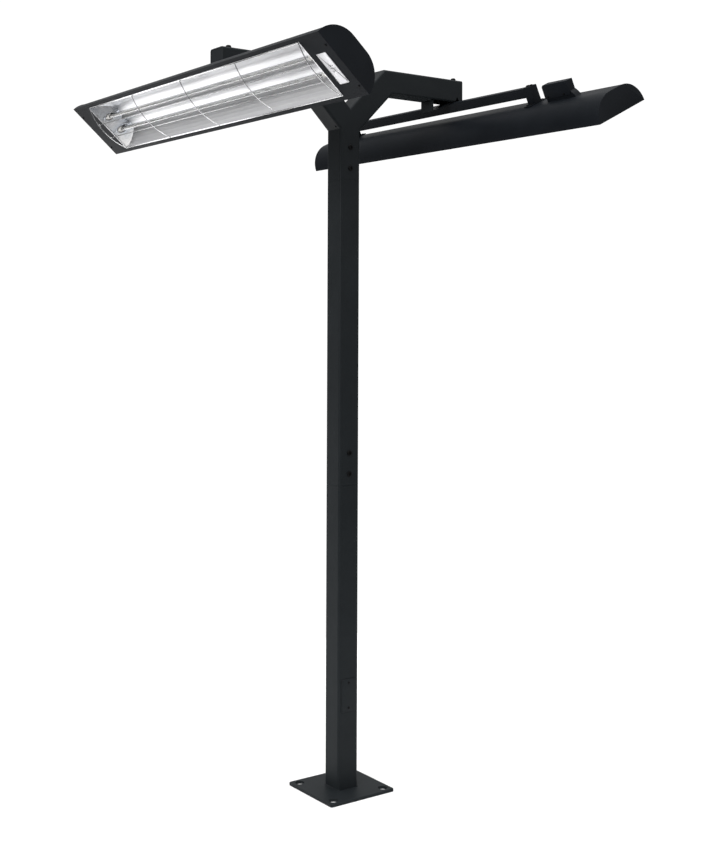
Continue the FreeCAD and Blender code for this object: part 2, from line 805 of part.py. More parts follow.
def yoke_rail():
    y0 = rail_ends[0] + leg_thick
    y1 = rail_ends[1] - leg_thick
    outer = block(-rail_half, rail_half, y0, y1, rail_low, rail_high)
    corners = [e for e in outer.Edges if e.BoundBox.YLength > 100]
    outer = outer.makeFillet(rail_round, corners)
    inner = block(-rail_half + rail_wall, rail_half - rail_wall, y0 - 1, y1 + 1,
                  rail_low + rail_wall, rail_high - rail_wall)
    slot_half = rail_half - rail_wall - rail_lip
    slot = block(-slot_half, slot_half, y0 - 1, y1 + 1, rail_low - 1, rail_low + 10)
    body = outer.cut(inner).cut(slot)
    for x, y, z in rail_bolt_spots():
        body = body.cut(rod(yoke_shank / 2 + bolt_clear, (x, y, rail_high - 10), z_axis, 20))
    return body


def yoke_legs():
    """Each leg is a folded cap over the rail's end, with two feet on the heater's back."""
    legs = []
    inner = rail_half + 0.2
    outer = inner + leg_thick
    top = rail_high + leg_thick
    foot_top = heater_deep + leg_thick
    profile = [(-outer, top), (outer, top), (outer, foot_top), (leg_foot, foot_top),
               (leg_foot, heater_deep), (inner, heater_deep), (inner, rail_high),
               (-inner, rail_high), (-inner, heater_deep), (-leg_foot, heater_deep),
               (-leg_foot, foot_top), (-outer, foot_top)]
    for middle, end, way in zip(leg_middles(), rail_ends, (1, -1)):
        leg = prism_xz(profile, middle - leg_wide / 2, middle + leg_wide / 2)
        web_y = sorted((end, end + way * (leg_thick - 0.1)))
        leg = leg.fuse(block(-outer, outer, web_y[0], web_y[1], heater_deep, top)).removeSplitter()
        bend = [e for e in leg.Edges if e.BoundBox.YLength > leg_wide - 1 and e.BoundBox.ZMin > top - 0.01]
        leg = leg.makeFillet(leg_bend, bend)
        for x, y, z in foot_spots() + rail_bolt_spots():
            hole = small_shank if x else yoke_shank
            leg = leg.cut(rod(hole / 2 + bolt_clear, (x, y, z - 6), z_axis, 12))
        legs.append(leg)
    return Part.makeCompound(legs)


def yoke_bolts():
    """Dome-headed bolts through leg and rail, each with its nut inside the rail."""
    length = leg_thick + rail_wall + nut_high + 2
    bolt = dome_bolt(yoke_head, yoke_head_high, yoke_shank, length)
    nut_z = rail_high - rail_wall - nut_high
    pieces = []
    for x, y, z in rail_bolt_spots():
        pieces.append(aimed(bolt, (x, y, z), z_axis))
        bore = rod(yoke_shank / 2 + 0.1, (x, y, nut_z - 1), z_axis, nut_high + 2)
        pieces.append(rod(nut_size / 2, (x, y, nut_z), z_axis, nut_high).cut(bore))
    return Part.makeCompound(pieces)


def saddle():
    """Plate on the rail with two ears that turn on the pivot pin."""
    ear_low = rail_high + hanger_thick
    body = block(-saddle_tail, rail_half, -saddle_half, saddle_half, rail_high, ear_low)
    points = [(-rail_half, rail_high), (rail_half, rail_high),
              (eye_radius, pivot_drop), (-eye_radius, pivot_drop)]
    for y0 in (-saddle_half, saddle_half - hanger_thick):
        ear = prism_xz(points, y0, y0 + hanger_thick)
        eye = rod(eye_radius, (0, y0, pivot_drop), y_axis, hanger_thick)
        body = body.fuse([ear, eye])
    body = body.removeSplitter()
    return body.cut(rod(pin_size / 2 + pin_fit, (0, -40, pivot_drop), y_axis, 80))


def placed(shape, side):
    """From the heater's own frame to its rest place under one arm."""
    tilt = right_tilt if side == "right" else left_tilt
    moved = shape.copy()
    moved.translate(vec(0, 0, -pivot_drop))
    moved.rotate(origin, y_axis, -tilt)
    moved.translate(vec(pivot_out, 0, pivot_high))
    return moved if side == "right" else half_turn(moved)


heater_nodes = {
    "housing": housing, "end_caps": end_caps, "face_panels": face_panels, "badge": badge,
    "reflector": reflector, "end_reflectors": end_reflectors, "quartz_tubes": quartz_tubes,
    "heating_coils": heating_coils, "ceramic_caps": ceramic_caps,
    "element_brackets": element_brackets, "element_wiring": element_wiring,
    "wire_guard": wire_guard, "box_base": box_base, "box_cover": box_cover,
    "trim_screws": trim_screws, "foot_screws": foot_screws, "yoke_rail": yoke_rail,
    "yoke_legs": yoke_legs, "yoke_bolts": yoke_bolts, "saddle": saddle,
}

shell = head_shell()
sleeve = shell.common(sleeve_region())
right_half = shell.cut(sleeve_region()).common(block(0, 600, -50, 50, 2000, 2500))
right_arm = arm_piece(shell)
right_strut = right_half.cut(arm_region()).cut(drain_drill())
right_hanger = hanger()

nodes = {
    "base_plate": base_plate(), "lower_post": lower_post(), "upper_post": upper_post(),
    "lower_spigot": spigot(lower_seam), "upper_spigot": spigot(upper_seam),
    "post_bolts": post_bolts(), "access_cover": access_cover(),
    "access_gasket": access_gasket(), "access_screws": access_screws(),
    "post_terminal_block": post_terminal_block(), "head_sleeve": sleeve,
    "right_strut": right_strut, "left_strut": left_of(right_strut),
    "right_arm": right_arm, "left_arm": left_of(right_arm),
    "arm_end_plates": Part.makeCompound([end_plate(), half_turn(end_plate())]),
    "arm_hangers": Part.makeCompound([right_hanger, half_turn(right_hanger)]),
    "hanger_bolts": hanger_bolts(), "pivot_pins": pivot_pins(), "supply_cables": supply_cables(),
}
for name, maker in heater_nodes.items():
    piece = maker()
    for side in ("left", "right"):
        nodes[side + "_" + name] = placed(piece, side)

for name, shape in nodes.items():
    shape.exportStep("parts/" + name + ".step")
print(len(nodes), "nodes written")
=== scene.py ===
# Twin patio heater on a Y-headed post: the finishes and the fine pieces, built around the fixed frame.
import json
import math

import bmesh
import bpy
from mathutils import Matrix, Vector


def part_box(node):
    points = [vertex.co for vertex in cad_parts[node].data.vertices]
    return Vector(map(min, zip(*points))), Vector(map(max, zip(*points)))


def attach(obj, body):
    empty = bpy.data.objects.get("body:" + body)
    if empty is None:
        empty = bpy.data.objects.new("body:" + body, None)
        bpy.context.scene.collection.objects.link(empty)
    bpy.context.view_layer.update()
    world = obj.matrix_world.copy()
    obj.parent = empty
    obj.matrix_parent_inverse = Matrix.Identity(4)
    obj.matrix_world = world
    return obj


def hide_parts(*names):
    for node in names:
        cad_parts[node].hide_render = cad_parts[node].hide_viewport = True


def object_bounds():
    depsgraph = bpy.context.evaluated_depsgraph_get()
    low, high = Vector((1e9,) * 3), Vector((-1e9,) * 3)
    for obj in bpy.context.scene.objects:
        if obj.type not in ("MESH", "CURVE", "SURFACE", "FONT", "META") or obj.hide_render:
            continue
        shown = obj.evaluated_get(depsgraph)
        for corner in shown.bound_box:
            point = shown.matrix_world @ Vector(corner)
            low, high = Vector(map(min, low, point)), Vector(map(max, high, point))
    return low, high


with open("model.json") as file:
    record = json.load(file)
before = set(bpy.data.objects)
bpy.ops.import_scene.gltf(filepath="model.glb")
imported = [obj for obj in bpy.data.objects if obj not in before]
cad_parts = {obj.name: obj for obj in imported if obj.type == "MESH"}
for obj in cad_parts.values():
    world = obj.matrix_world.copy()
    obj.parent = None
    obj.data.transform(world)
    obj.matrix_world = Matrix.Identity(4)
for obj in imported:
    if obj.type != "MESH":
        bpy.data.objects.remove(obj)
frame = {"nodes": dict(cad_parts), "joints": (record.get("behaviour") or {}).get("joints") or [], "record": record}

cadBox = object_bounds()
print("frame loaded:", len(frame["nodes"]), "nodes")

sides = ("left", "right")
jointOf = {joint["child"]: joint for joint in frame["joints"]}


# where each heater hangs: its own frame has X across, Y along, Z from the open face to the back

def tiltedFrame(side):
    joint = jointOf[side + "_heater"]
    reach = abs(joint["pos_m"][0])
    hang = Matrix.Translation((reach, 0, joint["pos_m"][2]))
    hang = hang @ Matrix.Rotation(math.radians(joint["range_deg"][0]), 4, "Y")
    return hang if side == "right" else Matrix.Rotation(math.pi, 4, "Z") @ hang


def heaterPoints(nodeName, side="right"):
    back = heaterPlace[side].inverted()
    return [back @ v.co for v in frame["nodes"][side + "_" + nodeName].data.vertices]


def heaterSpan(nodeName):
    points = heaterPoints(nodeName)
    return [(min(p[i] for p in points), max(p[i] for p in points)) for i in range(3)]


heaterPlace = {side: tiltedFrame(side) for side in sides}
pivotDrop = -min(p.z for p in heaterPoints("housing"))
for side in sides:
    heaterPlace[side] = heaterPlace[side] @ Matrix.Translation((0, 0, -pivotDrop))

shellX, shellY, shellZ = heaterSpan("housing")
capsX, capsY, capsZ = heaterSpan("end_caps")
guardX, guardY, guardZ = heaterSpan("wire_guard")
tubesX, tubesY, tubesZ = heaterSpan("quartz_tubes")
coilsX, coilsY, coilsZ = heaterSpan("heating_coils")
coverX, coverY, coverZ = heaterSpan("box_cover")
badgeX, badgeY, badgeZ = heaterSpan("badge")
openingEnd = min(p.y for p in heaterPoints("face_panels") if p.y > 0)
openingSide = guardX[1]
tubeRadius = (tubesZ[1] - tubesZ[0]) / 2
tubeX = tubesX[1] - tubeRadius
tubeZ = tubesZ[0] + tubeRadius
print("heater frame ready, pivot drop", round(pivotDrop, 4))


# small modelling helpers

def clearSelection():
    if bpy.context.object and bpy.context.object.mode == "EDIT":
        bpy.ops.object.mode_set(mode="OBJECT")
    bpy.ops.object.select_all(action="DESELECT")


def pickOnly(*pieces):
    clearSelection()
    for piece in pieces:
        piece.select_set(True)
    bpy.context.view_layer.objects.active = pieces[0]


def editPiece(piece, kind="FACE"):
    pickOnly(piece)
    bpy.ops.object.mode_set(mode="EDIT")
    bpy.ops.mesh.select_mode(type=kind)


def pickFaces(test):
    bpy.ops.mesh.select_mode(type="FACE")
    bpy.ops.mesh.select_all(action="DESELECT")
    mesh = bmesh.from_edit_mesh(bpy.context.object.data)
    for face in mesh.faces:
        face.select_set(bool(test(face.calc_center_median(), face.normal)))
    mesh.select_flush_mode()
    bmesh.update_edit_mesh(bpy.context.object.data)


def pickEdges(test):
    bpy.ops.mesh.select_mode(type="EDGE")
    bpy.ops.mesh.select_all(action="DESELECT")
    mesh = bmesh.from_edit_mesh(bpy.context.object.data)
    for edge in mesh.edges:
        a, b = edge.verts[0].co, edge.verts[1].co
        edge.select_set(bool(test((a + b) / 2, (b - a).normalized())))
    mesh.select_flush_mode()
    bmesh.update_edit_mesh(bpy.context.object.data)


def pickPoints(test):
    bpy.ops.mesh.select_mode(type="VERT")
    bpy.ops.mesh.select_all(action="DESELECT")
    mesh = bmesh.from_edit_mesh(bpy.context.object.data)
    for vert in mesh.verts:
        vert.select_set(bool(test(vert.co)))
    mesh.select_flush_mode()
    bmesh.update_edit_mesh(bpy.context.object.data)


def settle(piece, name=None):
    pickOnly(piece)
    bpy.ops.object.transform_apply(location=True, rotation=True, scale=True)
    if name:
        piece.name = name
        piece.data.name = name
    return piece


def addModifier(piece, kind, **settings):
    pickOnly(piece)
    bpy.ops.object.modifier_add(type=kind)
    modifier = piece.modifiers[-1]
    for key, value in settings.items():
        setattr(modifier, key, value)
    bpy.ops.object.modifier_apply(modifier=modifier.name)
    return piece


def tidyNormals(piece):
    editPiece(piece)
    bpy.ops.mesh.select_all(action="SELECT")
    bpy.ops.mesh.remove_doubles(threshold=0.00001)
    bpy.ops.mesh.normals_make_consistent(inside=False)
    bpy.ops.object.mode_set(mode="OBJECT")
    return piece


def smooth(piece, degrees=35):
    pickOnly(piece)
    bpy.ops.object.shade_smooth_by_angle(angle=math.radians(degrees))
    return piece


def joined(pieces):
    pickOnly(*pieces)
    if len(pieces) > 1:
        bpy.ops.object.join()
    return pieces[0]


def cutOut(piece, *cutters):
    for cutter in cutters:
        addModifier(piece, "BOOLEAN", operation="DIFFERENCE", solver="EXACT", object=cutter)
        bpy.data.objects.remove(cutter)
    return piece


def repeated(piece, places):
    rows = []
    for place in places:
        twin = piece.copy()
        twin.data = piece.data.copy()
        bpy.context.collection.objects.link(twin)
        twin.data.transform(place)
        rows.append(twin)
    bpy.data.objects.remove(piece)
    return joined(rows)


def sliceOff(piece, spot, normal, fill):
    editPiece(piece)
    bpy.ops.mesh.select_all(action="SELECT")
    bpy.ops.mesh.bisect(plane_co=spot, plane_no=normal, clear_outer=True, use_fill=fill)
    bpy.ops.object.mode_set(mode="OBJECT")


def outlinePiece(points, start, end):
    clearSelection()
    bpy.ops.mesh.primitive_plane_add(size=0.01)
    piece = bpy.context.object
    editPiece(piece, "VERT")
    bpy.ops.mesh.select_all(action="SELECT")
    bpy.ops.mesh.merge(type="CENTER")
    bpy.ops.mesh.select_all(action="SELECT")
    bpy.ops.transform.translate(value=(points[0][0], start, points[0][1]))
    last = points[0]
    for x, z in points[1:]:
        bpy.ops.mesh.extrude_region_move(TRANSFORM_OT_translate={"value": (x - last[0], 0, z - last[1])})
        last = (x, z)
    bpy.ops.mesh.select_all(action="SELECT")
    bpy.ops.mesh.edge_face_add()
    bpy.ops.mesh.select_all(action="SELECT")
    bpy.ops.mesh.extrude_region_move(TRANSFORM_OT_translate={"value": (0, end - start, 0)})
    bpy.ops.object.mode_set(mode="OBJECT")
    return tidyNormals(piece)


def boxPiece(x, y, z):
    size = (x[1] - x[0], y[1] - y[0], z[1] - z[0])
    centre = ((x[0] + x[1]) / 2, (y[0] + y[1]) / 2, (z[0] + z[1]) / 2)
    clearSelection()
    bpy.ops.mesh.primitive_cube_add(size=1, location=centre)
    bpy.context.object.scale = size
    return settle(bpy.context.object)


def rodPiece(radius, start, end, sidesAround=32):
    start, end = Vector(start), Vector(end)
    clearSelection()
    bpy.ops.mesh.primitive_cylinder_add(vertices=sidesAround, radius=radius, depth=(end - start).length,
                                        location=(start + end) / 2)
    bpy.context.object.rotation_euler = (end - start).to_track_quat("Z", "Y").to_euler()
    return settle(bpy.context.object)


def facing(spot, direction):
    return Matrix.Translation(spot) @ Vector(direction).to_track_quat("Z", "Y").to_matrix().to_4x4()


def fitOut(piece, name, body, slotName, finish, *nodes):
    piece.name = name
    piece.data.name = name
    piece.data.materials.clear()
    piece.data.materials.append(finish)
    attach(piece, body)
    if nodes:
        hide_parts(*nodes)
    return piece


def fitBothHeaters(piece, name, slotName, finish, *nodes):
    for side in sides:
        twin = piece.copy()
        twin.data = piece.data.copy()
        bpy.context.collection.objects.link(twin)
        twin.data.transform(heaterPlace[side])
        fitOut(twin, side + "_" + name, side + "_heater", slotName, finish,
               *[side + "_" + node for node in nodes])
    bpy.data.objects.remove(piece)


# finishes

def newFinish(name):
    finish = bpy.data.materials.new(name)
    finish.use_nodes = True
    nodes = finish.node_tree.nodes
    return finish, nodes, finish.node_tree.links, nodes["Principled BSDF"]


def objectPattern(nodes, links, stretch):
    spot = nodes.new("ShaderNodeTexCoord")
    mapping = nodes.new("ShaderNodeMapping")
    mapping.inputs["Scale"].default_value = stretch
    links.new(spot.outputs["Object"], mapping.inputs["Vector"])
    return mapping.outputs["Vector"]


def noise(nodes, links, vector, scale, detail=3.0, roughness=0.5):
    grain = nodes.new("ShaderNodeTexNoise")
    grain.inputs["Scale"].default_value = scale
    grain.inputs["Detail"].default_value = detail
    grain.inputs["Roughness"].default_value = roughness
    links.new(vector, grain.inputs["Vector"])
    return grain.outputs["Fac"]


def ramp(nodes, links, value, stops):
    strip = nodes.new("ShaderNodeValToRGB")
    while len(strip.color_ramp.elements) < len(stops):
        strip.color_ramp.elements.new(0.5)
    for element, (place, colour) in zip(strip.color_ramp.elements, stops):
        element.position = place
        element.color = (*colour, 1) if len(colour) == 3 else colour
    links.new(value, strip.inputs["Fac"])
    return strip.outputs["Color"]


def spread(nodes, links, value, low, high):
    fit = nodes.new("ShaderNodeMapRange")
    fit.inputs["To Min"].default_value = low
    fit.inputs["To Max"].default_value = high
    links.new(value, fit.inputs["Value"])
    return fit.outputs["Result"]


def bumpFrom(nodes, links, height, strength, distance, under=None):
    bump = nodes.new("ShaderNodeBump")
    bump.inputs["Strength"].default_value = strength
    bump.inputs["Distance"].default_value = distance
    links.new(height, bump.inputs["Height"])
    if under:
        links.new(under, bump.inputs["Normal"])
    return bump.outputs["Normal"]


def mixColour(nodes, links, factor, first, second, mode="MIX"):
    mix = nodes.new("ShaderNodeMix")
    mix.data_type = "RGBA"
    mix.blend_type = mode
    links.new(factor, mix.inputs["Factor"])
    for socket, value in ((mix.inputs["A"], first), (mix.inputs["B"], second)):
        if isinstance(value, tuple):
            socket.default_value = (*value, 1)
        else:
            links.new(value, socket)
    return mix.outputs["Result"]


def powderCoat(name, dark, light, rough, specular=0.35):
    finish, nodes, links, shader = newFinish(name)
    plain = objectPattern(nodes, links, (1, 1, 1))
    cloud = noise(nodes, links, plain, 7.0, 4.0, 0.6)
    speck = noise(nodes, links, plain, 900.0, 1.0)
    base = ramp(nodes, links, cloud, [(0.3, dark), (0.7, light)])
    flecks = ramp(nodes, links, speck, [(0.62, (0, 0, 0)), (0.78, (0.12, 0.12, 0.12))])
    bright = tuple(c * 2.2 for c in light)
    links.new(mixColour(nodes, links, flecks, base, bright), shader.inputs["Base Color"])
    peel = noise(nodes, links, plain, 520.0, 2.0, 0.55)
    wave = noise(nodes, links, plain, 16.0, 2.0)
    rubbed = noise(nodes, links, plain, 3.2, 6.0, 0.65)
    links.new(spread(nodes, links, rubbed, rough - 0.1, rough + 0.12), shader.inputs["Roughness"])
    broad = bumpFrom(nodes, links, wave, 0.12, 0.002)
    links.new(bumpFrom(nodes, links, peel, 0.22, 0.0004, broad), shader.inputs["Normal"])
    shader.inputs["Specular IOR Level"].default_value = specular
    return finish


def polishedSheet(name, dark, light, rough, stretch, anisotropic=0.5):
    finish, nodes, links, shader = newFinish(name)
    drawn = objectPattern(nodes, links, stretch)
    plain = objectPattern(nodes, links, (1, 1, 1))
    bands = noise(nodes, links, drawn, 1.0, 5.0, 0.6)
    fine = noise(nodes, links, drawn, 9.0, 3.0, 0.6)
    haze = noise(nodes, links, plain, 9.0, 4.0)
    links.new(ramp(nodes, links, bands, [(0.3, dark), (0.68, light)]), shader.inputs["Base Color"])
    links.new(spread(nodes, links, haze, rough * 0.7, rough * 1.4), shader.inputs["Roughness"])
    wavy = bumpFrom(nodes, links, bands, 0.25, 0.0012)
    links.new(bumpFrom(nodes, links, fine, 0.12, 0.0003, wavy), shader.inputs["Normal"])
    shader.inputs["Metallic"].default_value = 1.0
    shader.inputs["Anisotropic"].default_value = anisotropic
    return finish


def plainMetal(name, dark, light, rough, grain=300.0):
    finish, nodes, links, shader = newFinish(name)
    plain = objectPattern(nodes, links, (1, 1, 1))
    mottled = noise(nodes, links, plain, grain, 4.0, 0.6)
    cloud = noise(nodes, links, plain, grain / 12, 3.0)
    links.new(ramp(nodes, links, cloud, [(0.3, dark), (0.7, light)]), shader.inputs["Base Color"])
    links.new(spread(nodes, links, mottled, rough * 0.75, rough * 1.3), shader.inputs["Roughness"])
    links.new(bumpFrom(nodes, links, mottled, 0.15, 0.0002), shader.inputs["Normal"])
    shader.inputs["Metallic"].default_value = 1.0
    return finish


def softMatte(name, dark, light, rough, grain=400.0, specular=0.3):
    finish, nodes, links, shader = newFinish(name)
    plain = objectPattern(nodes, links, (1, 1, 1))
    mottled = noise(nodes, links, plain, grain, 4.0, 0.6)
    cloud = noise(nodes, links, plain, grain / 10, 3.0)
    links.new(ramp(nodes, links, cloud, [(0.3, dark), (0.7, light)]), shader.inputs["Base Color"])
    links.new(spread(nodes, links, mottled, rough * 0.85, min(rough * 1.15, 1)), shader.inputs["Roughness"])
    links.new(bumpFrom(nodes, links, mottled, 0.25, 0.0003), shader.inputs["Normal"])
    shader.inputs["Specular IOR Level"].default_value = specular
    return finish


def clearQuartz(name):
    finish, nodes, links, shader = newFinish(name)
    drawn = objectPattern(nodes, links, (60, 2, 60))
    lines = noise(nodes, links, drawn, 1.0, 3.0)
    tint = ramp(nodes, links, lines, [(0.3, (0.93, 0.95, 0.97)), (0.7, (1, 1, 1))])
    links.new(tint, shader.inputs["Base Color"])
    links.new(spread(nodes, links, lines, 0.02, 0.09), shader.inputs["Roughness"])
    links.new(bumpFrom(nodes, links, lines, 0.1, 0.0003), shader.inputs["Normal"])
    shader.inputs["Transmission Weight"].default_value = 1.0
    shader.inputs["IOR"].default_value = 1.46
    return finish


finishes = {
    "post_black": powderCoat("post_black", (0.0085, 0.0106, 0.0122), (0.0115, 0.014, 0.0158), 0.5, 0.1),
    "heater_black": powderCoat("heater_black", (0.0066, 0.008, 0.0102), (0.0092, 0.011, 0.0138), 0.44, 0.05),
    "bolt_black": softMatte("bolt_black", (0.0012, 0.0012, 0.0014), (0.0034, 0.0034, 0.0038), 0.5,
                            specular=0.1),
    "galvanised": plainMetal("galvanised", (0.34, 0.35, 0.36), (0.52, 0.53, 0.54), 0.38, 160.0),
    "seal_rubber": softMatte("seal_rubber", (0.012, 0.012, 0.012), (0.022, 0.022, 0.022), 0.8),
    "cable_rubber": softMatte("cable_rubber", (0.012, 0.012, 0.013), (0.022, 0.022, 0.024), 0.6),
    "terminal_plastic": softMatte("terminal_plastic", (0.62, 0.6, 0.54), (0.74, 0.72, 0.66), 0.5),
    "ceramic": softMatte("ceramic", (0.6, 0.59, 0.57), (0.76, 0.75, 0.73), 0.7),
    "badge_metal": polishedSheet("badge_metal", (0.7, 0.69, 0.71), (0.84, 0.84, 0.86), 0.36,
                                 (9, 500, 9), 0.4),
    "reflector_aluminium": polishedSheet("reflector_aluminium", (0.84, 0.84, 0.86), (0.94, 0.94, 0.95), 0.33,
                                         (150, 1.0, 150), 0.3),
    "guard_steel": plainMetal("guard_steel", (0.74, 0.74, 0.75), (0.88, 0.88, 0.89), 0.16),
    "coil_wire": plainMetal("coil_wire", (0.5, 0.48, 0.46), (0.72, 0.71, 0.69), 0.35, 500.0),
    "quartz": clearQuartz("quartz"),
    "heat_tinted": polishedSheet("heat_tinted", (0.46, 0.5, 0.56), (0.86, 0.85, 0.84), 0.2,
                                 (18, 14, 18), 0.2),
    "mark_enamel": softMatte("mark_enamel", (0.02, 0.018, 0.02), (0.05, 0.045, 0.05), 0.35),
}
for row in frame["record"]["subparts"]:
    for place in frame["nodes"][row["node"]].material_slots:
        place.material = finishes[row["material_slot"]]
print("finishes ready:", len(finishes))


# bolts and screws

boltLook = {"dome": 0.68, "foot": 0.06, "socket": 0.52, "socketDeep": 0.6}
screwLook = {"dome": 0.7, "slotReach": 0.5, "slotHalf": 0.13, "slotFloor": 0.35, "footHeadHigh": 0.003}


def domeBolt(radius, high):
    bolt = rodPiece(radius, (0, 0, 0), (0, 0, high), 40)
    editPiece(bolt)
    pickEdges(lambda mid, way: mid.z > high * 0.99)
    bpy.ops.mesh.bevel(offset=high * boltLook["dome"], segments=6, profile=0.5)
    pickEdges(lambda mid, way: mid.z < high * 0.01)
    bpy.ops.mesh.bevel(offset=high * boltLook["foot"], segments=2)
    bpy.ops.object.mode_set(mode="OBJECT")
    deep = high * boltLook["socketDeep"]
    socket = rodPiece(radius * boltLook["socket"], (0, 0, high - deep), (0, 0, high * 2), 6)
    return smooth(cutOut(bolt, socket), 30)


def crossScrew(radius, high):
    screw = rodPiece(radius, (0, 0, 0), (0, 0, high), 32)
    editPiece(screw)
    pickEdges(lambda mid, way: mid.z > high * 0.99)
    bpy.ops.mesh.bevel(offset=high * screwLook["dome"], segments=5, profile=0.5)
    bpy.ops.object.mode_set(mode="OBJECT")
    arm, half = radius * screwLook["slotReach"], radius * screwLook["slotHalf"]
    low, top = high * screwLook["slotFloor"], high * 2
    return smooth(cutOut(screw, boxPiece((-arm, arm), (-half, half), (low, top)),
                         boxPiece((-half, half), (-arm, arm), (low, top))), 30)


def headSpots(nodeName, side=None):
    node = frame["nodes"][nodeName]
    mesh = bmesh.new()
    mesh.from_mesh(node.data)
    bmesh.ops.remove_doubles(mesh, verts=mesh.verts, dist=0.000005)
    back = heaterPlace[side].inverted() if side else Matrix.Identity(4)
    spots, seen = [], set()
    for seed in mesh.verts:
        if seed.index in seen:
            continue
        island, queue = [], [seed]
        seen.add(seed.index)
        while queue:
            vert = queue.pop()
            island.append(back @ vert.co)
            for edge in vert.link_edges:
                other = edge.other_vert(vert)
                if other.index not in seen:
                    seen.add(other.index)
                    queue.append(other)
        spots.append([(min(p[i] for p in island), max(p[i] for p in island)) for i in range(3)])
    mesh.free()
    return spots


def middle(span):
    return (span[0] + span[1]) / 2


def fitPostBolts():
    places = []
    for x, y, z in headSpots("post_bolts"):
        out = 1 if y[1] > 0.03 and middle(y) > 0 else -1
        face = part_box("upper_post")[1].y * out
        places.append(facing((middle(x), face, middle(z)), (0, out, 0)))
        radius = (x[1] - x[0]) / 2
        high = abs((y[1] if out > 0 else y[0]) - face)
    bolts = repeated(domeBolt(radius, high), places)
    fitOut(bolts, "postBolts", "stand", "bolt_black", finishes["bolt_black"], "post_bolts")


def fitHangerBolts():
    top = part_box("right_arm")[1].z
    places = []
    for x, y, z in headSpots("hanger_bolts"):
        places.append(facing((middle(x), middle(y), top), (0, 0, 1)))
        radius, high = (x[1] - x[0]) / 2, z[1] - top
    bolts = repeated(domeBolt(radius, high), places)
    fitOut(bolts, "hangerBolts", "stand", "bolt_black", finishes["bolt_black"], "hanger_bolts")


def fitCoverScrews():
    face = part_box("access_cover")[0].y
    places = []
    for x, y, z in headSpots("access_screws"):
        places.append(facing((middle(x), face, middle(z)), (0, -1, 0)))
        radius, high = (x[1] - x[0]) / 2, face - y[0]
    screws = repeated(crossScrew(radius, high), places)
    fitOut(screws, "coverScrews", "stand", "bolt_black", finishes["bolt_black"], "access_screws")


def fitHeaterScrews():
    faceScrews, boxScrews, footScrews, yokeBolts = [], [], [], []
    for x, y, z in headSpots("right_trim_screws", "right"):
        if middle(z) < 0.02:
            faceScrews.append(facing((middle(x), middle(y), 0), (0, 0, -1)))
            radius, high = (x[1] - x[0]) / 2, -z[0]
        else:
            boxScrews.append(facing((coverX[0], middle(y), middle(z)), (-1, 0, 0)))
    screws = repeated(crossScrew(radius, high), faceScrews + boxScrews)
    fitBothHeaters(screws, "trimScrews", "bolt_black", finishes["bolt_black"], "trim_screws")
    footTop, footHigh = heaterSpan("foot_screws")[2][1], screwLook["footHeadHigh"]
    for x, y, z in headSpots("right_foot_screws", "right"):
        footScrews.append(facing((middle(x), middle(y), footTop - footHigh), (0, 0, 1)))
        radius = (x[1] - x[0]) / 2
    screws = repeated(crossScrew(radius, footHigh), footScrews)
    fitBothHeaters(screws, "footScrews", "bolt_black", finishes["bolt_black"], "foot_screws")
    boltTop, legTop = heaterSpan("yoke_bolts")[2][1], heaterSpan("yoke_legs")[2][1]
    for x, y, z in headSpots("right_yoke_bolts", "right"):
        if z[1] > boltTop - 0.001:
            yokeBolts.append(facing((middle(x), middle(y), legTop), (0, 0, 1)))
            radius = (x[1] - x[0]) / 2
    bolts = repeated(domeBolt(radius, boltTop - legTop), yokeBolts)
    fitBothHeaters(bolts, "yokeBolts", "bolt_black", finishes["bolt_black"], "yoke_bolts")


fitPostBolts()
fitHangerBolts()
fitCoverScrews()
fitHeaterScrews()
print("bolts and screws fitted")


# reflector: a bright sheet folded into two shallow troughs, one over each element

reflectorLook = {"crown": 0.050, "focus": 0.0236, "folds": 11, "sheet": 0.0008, "lip": 0.0032, "hole": 0.0118,
                 "slopeRun": 0.072, "slopeRise": 0.049}


def troughHeight(x):
    return reflectorLook["crown"] - (abs(x) - tubeX) ** 2 / (4 * reflectorLook["focus"])


def troughLine():
    folds = reflectorLook["folds"]
    rim = openingSide - 0.0006
    right = [(rim * i / folds, troughHeight(rim * i / folds)) for i in range(folds + 1)] + [(rim, 0.0006)]
    left = [(-x, z) for x, z in reversed(right[1:])]
    return left + right


def foldedTrough():
    line = troughLine()
    end = openingEnd - 0.001
    clearSelection()
    bpy.ops.mesh.primitive_plane_add(size=1, location=(0, 0, 0))
    sheet = bpy.context.object
    editPiece(sheet)
    bpy.ops.mesh.delete(type="ONLY_FACE")
    pickEdges(lambda mid, way: mid.x > -0.1)
    bpy.ops.mesh.delete(type="EDGE")
    bpy.ops.mesh.select_all(action="SELECT")
    bpy.ops.transform.resize(value=(1, 2 * end, 1))
    bpy.ops.transform.translate(value=(0.5 + line[0][0], 0, 0.0006))
    last = (line[0][0], 0.0006)
    for x, z in line[1:]:
        bpy.ops.mesh.extrude_region_move(TRANSFORM_OT_translate={"value": (x - last[0], 0, z - last[1])})
        last = (x, z)
    bpy.ops.object.mode_set(mode="OBJECT")
    return sheet


def slopePlane(sign, shift=0.0):
    run, rise = reflectorLook["slopeRun"], reflectorLook["slopeRise"]
    foot = Vector((0, sign * (openingEnd - 0.001 + shift), 0))
    return foot, Vector((0, sign * rise, run)).normalized()


def fitReflector():
    sheet = foldedTrough()
    for sign in (-1, 1):
        foot, normal = slopePlane(sign)
        sliceOff(sheet, foot, normal, False)
    tidyNormals(sheet)
    addModifier(sheet, "SOLIDIFY", thickness=reflectorLook["sheet"], offset=1)
    tidyNormals(sheet)
    fitBothHeaters(sheet, "reflectorTrough", "reflector_aluminium", finishes["reflector_aluminium"],
                   "reflector")


